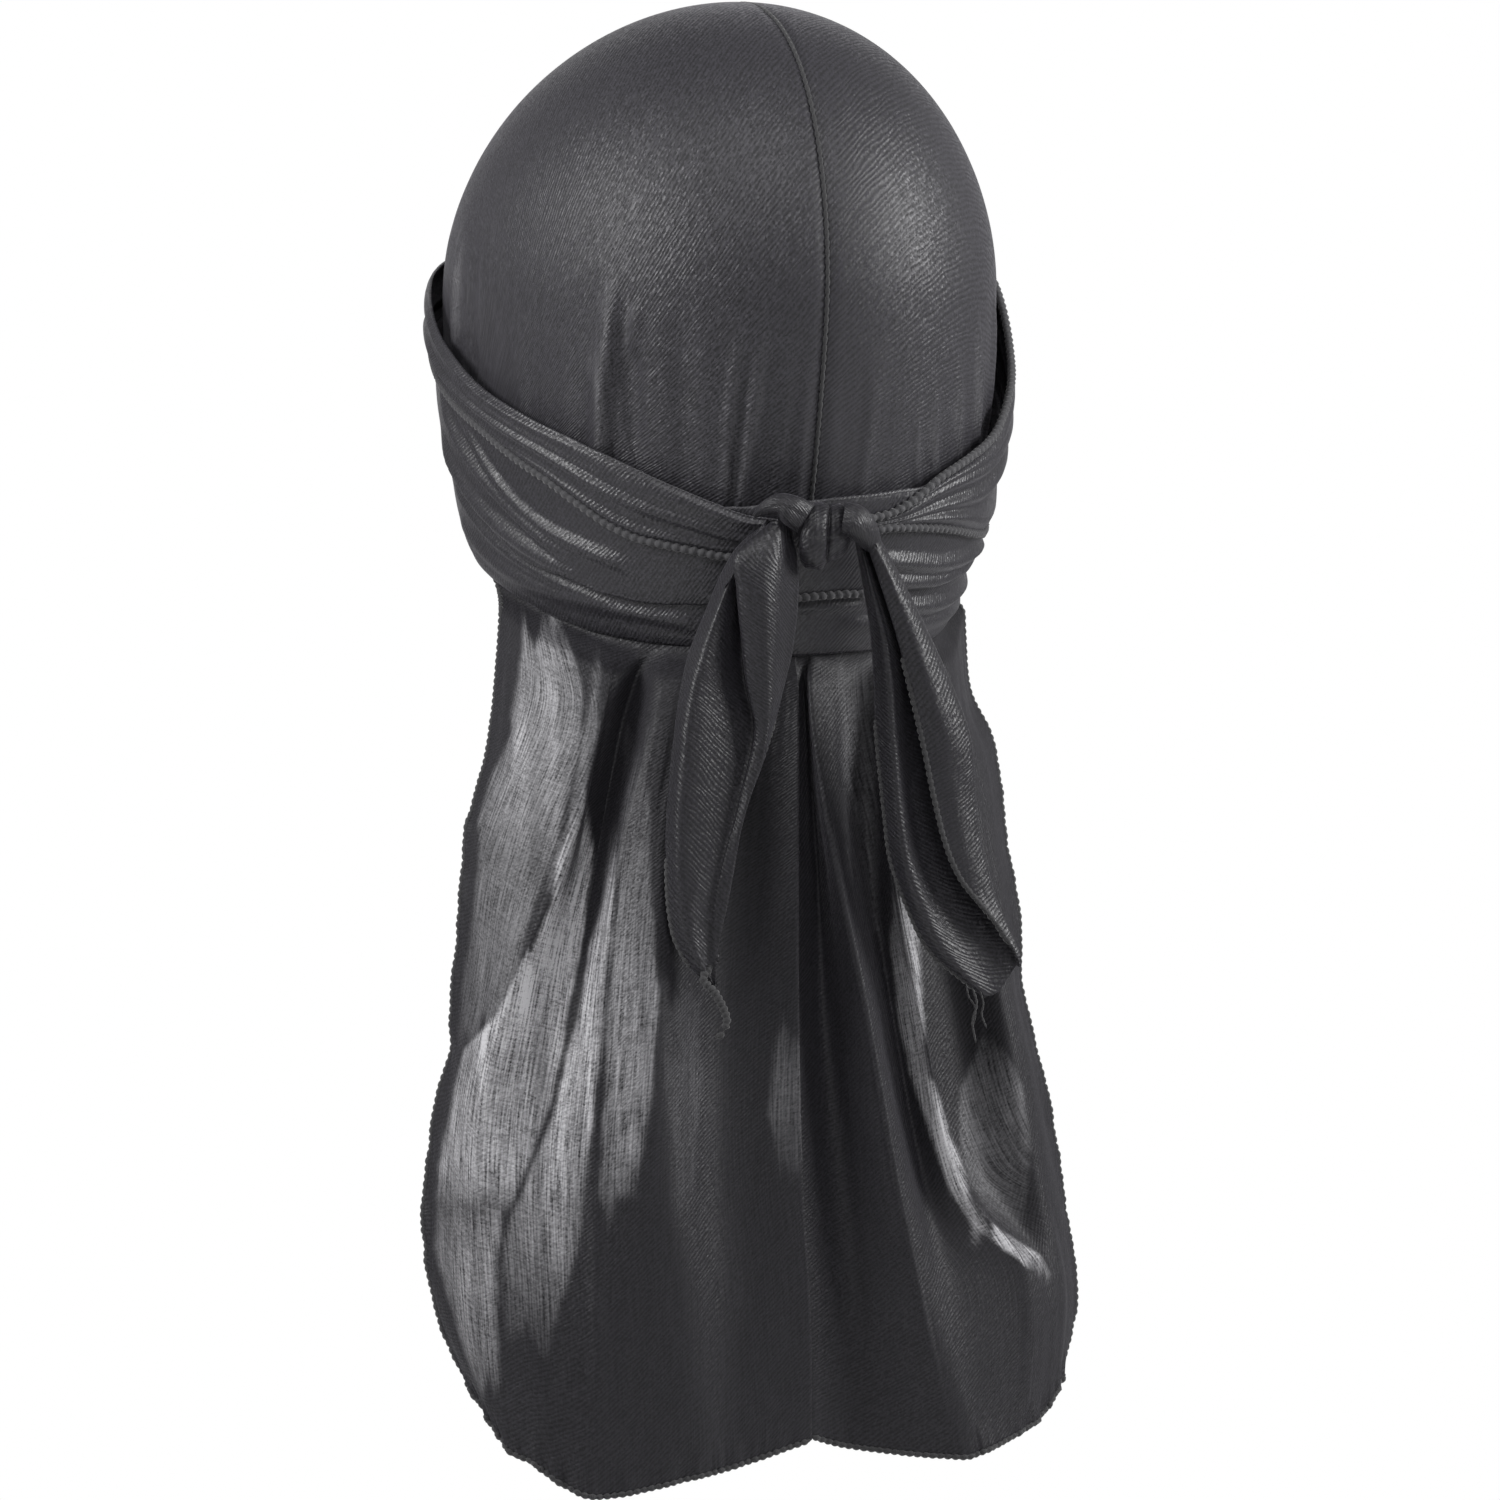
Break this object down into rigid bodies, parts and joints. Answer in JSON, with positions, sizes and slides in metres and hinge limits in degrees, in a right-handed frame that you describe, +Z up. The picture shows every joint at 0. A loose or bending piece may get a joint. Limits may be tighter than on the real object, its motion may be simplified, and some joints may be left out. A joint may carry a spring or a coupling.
{
  "type": "durag",
  "caption": "Dark satin durag in its worn shape, with a seamed crown, straps wound round and knotted at the nape, two free ends and a long hanging flap.",
  "frame": {"origin": "inside of the crown's top, where the crown rests on the top of the head", "axes": "+Z up, the wearer faces -Y, +X to the wearer's left; the knot, free ends and flap are on the +Y side"},
  "size_m": [0.1866, 0.2012, 0.4104],
  "materials": {
    "satin": "satin",
    "stitching": "matte"
  },
  "bodies": {
    "root": {"crown_left": "satin", "crown_right": "satin", "crown_seam": "stitching", "flap_left": "satin", "flap_right": "satin", "strap_left": "satin", "strap_right": "satin", "knot": "satin", "tail_left": "satin", "tail_right": "satin"}
  },
  "joints": []
}
